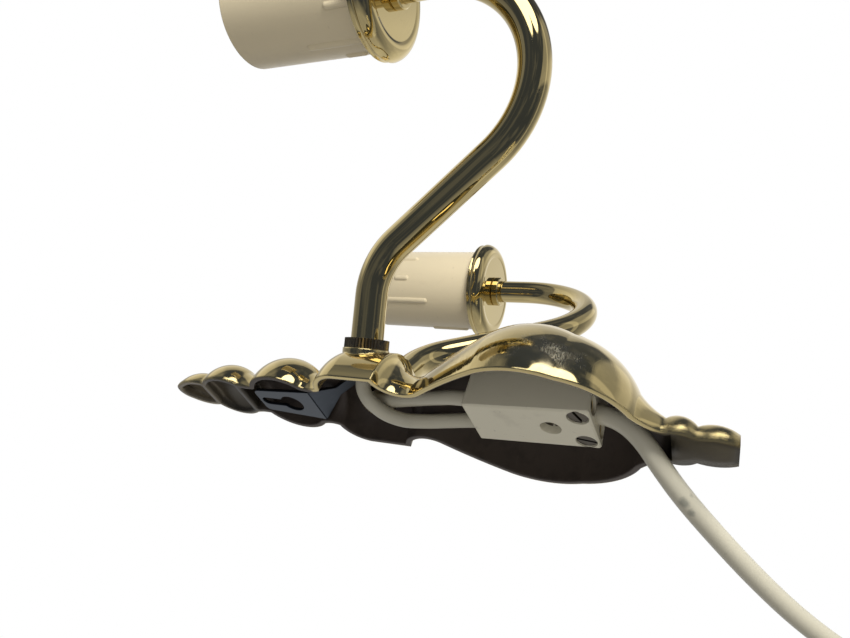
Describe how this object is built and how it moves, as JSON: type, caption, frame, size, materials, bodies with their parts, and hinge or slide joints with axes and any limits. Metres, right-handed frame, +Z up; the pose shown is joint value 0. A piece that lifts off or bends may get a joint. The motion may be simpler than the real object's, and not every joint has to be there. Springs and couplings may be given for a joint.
{
  "type": "candle wall light",
  "caption": "Two-arm candle wall light: half-turned brass plate on a keyhole bracket, bent tube arms, drip cups, lampholders, wax-run sleeves and a plug-in flex.",
  "frame": {"origin": "centre of the bracket's keyhole, on the wall plane", "axes": "+Z up, +Y into the wall, -Y out into the room, +X to the right of a person who faces the wall"},
  "size_m": [0.1898, 0.1719, 0.3374],
  "materials": {
    "polished_brass": "polished, lacquered",
    "antique_brass": "darkened, knurled",
    "hanger_steel": "plain zinc-plated sheet",
    "block_plastic": "moulded",
    "terminal_brass": "machined",
    "screw_steel": "slotted, plain",
    "white_flex": "smooth round sheath",
    "tie_plastic": "moulded",
    "plug_plastic": "moulded",
    "pin_metal": "plated",
    "holder_plastic": "moulded",
    "shell_brass": "pressed sheet",
    "candle_plastic": "ivory, moulded with wax runs"
  },
  "bodies": {
    "plate": {"backplate": "polished_brass", "hanger_bracket": "hanger_steel", "terminal_block": "block_plastic", "terminal_barrels": "terminal_brass", "terminal_screws": "screw_steel", "block_screw": "screw_steel", "left_plate_lead": "white_flex", "right_plate_lead": "white_flex", "supply_cord": "white_flex", "cord_coil": "white_flex", "coil_tie": "tie_plastic", "plug_body": "plug_plastic", "plug_pins": "pin_metal"},
    "left_arm": {"left_arm_tube": "polished_brass", "left_inner_ring": "antique_brass", "left_cup_collar": "polished_brass", "left_drip_cup": "polished_brass", "left_holder_body": "holder_plastic", "left_screw_shell": "shell_brass", "left_centre_contact": "shell_brass", "left_arm_lead": "white_flex"},
    "left_ring": {"left_lock_ring": "antique_brass"},
    "left_sleeve": {"left_candle_sleeve": "candle_plastic"},
    "right_arm": {"right_arm_tube": "polished_brass", "right_inner_ring": "antique_brass", "right_cup_collar": "polished_brass", "right_drip_cup": "polished_brass", "right_holder_body": "holder_plastic", "right_screw_shell": "shell_brass", "right_centre_contact": "shell_brass", "right_arm_lead": "white_flex"},
    "right_ring": {"right_lock_ring": "antique_brass"},
    "right_sleeve": {"right_candle_sleeve": "candle_plastic"}
  },
  "joints": [
    {"name": "left_arm_swivel", "type": "hinge", "parent": "plate", "child": "left_arm", "pos_m": [0, 0, -0.0245], "axis": [-0.5388, -0.8425, 0], "range_deg": [-30, 30]},
    {"name": "left_ring_turn", "type": "hinge", "parent": "left_arm", "child": "left_ring", "pos_m": [-0.01091, -0.01706, -0.0245], "axis": [-0.5388, -0.8425, 0], "range_deg": [0, 180]},
    {"name": "left_sleeve_lift", "type": "slide", "parent": "left_arm", "child": "left_sleeve", "axis": [0, 0, 1], "range_m": [0, 0.058]},
    {"name": "right_arm_swivel", "type": "hinge", "parent": "plate", "child": "right_arm", "pos_m": [0, 0, -0.0245], "axis": [0.5388, -0.8425, 0], "range_deg": [-30, 30]},
    {"name": "right_ring_turn", "type": "hinge", "parent": "right_arm", "child": "right_ring", "pos_m": [0.01091, -0.01706, -0.0245], "axis": [0.5388, -0.8425, 0], "range_deg": [0, 180]},
    {"name": "right_sleeve_lift", "type": "slide", "parent": "right_arm", "child": "right_sleeve", "axis": [0, 0, 1], "range_m": [0, 0.058]}
  ]
}
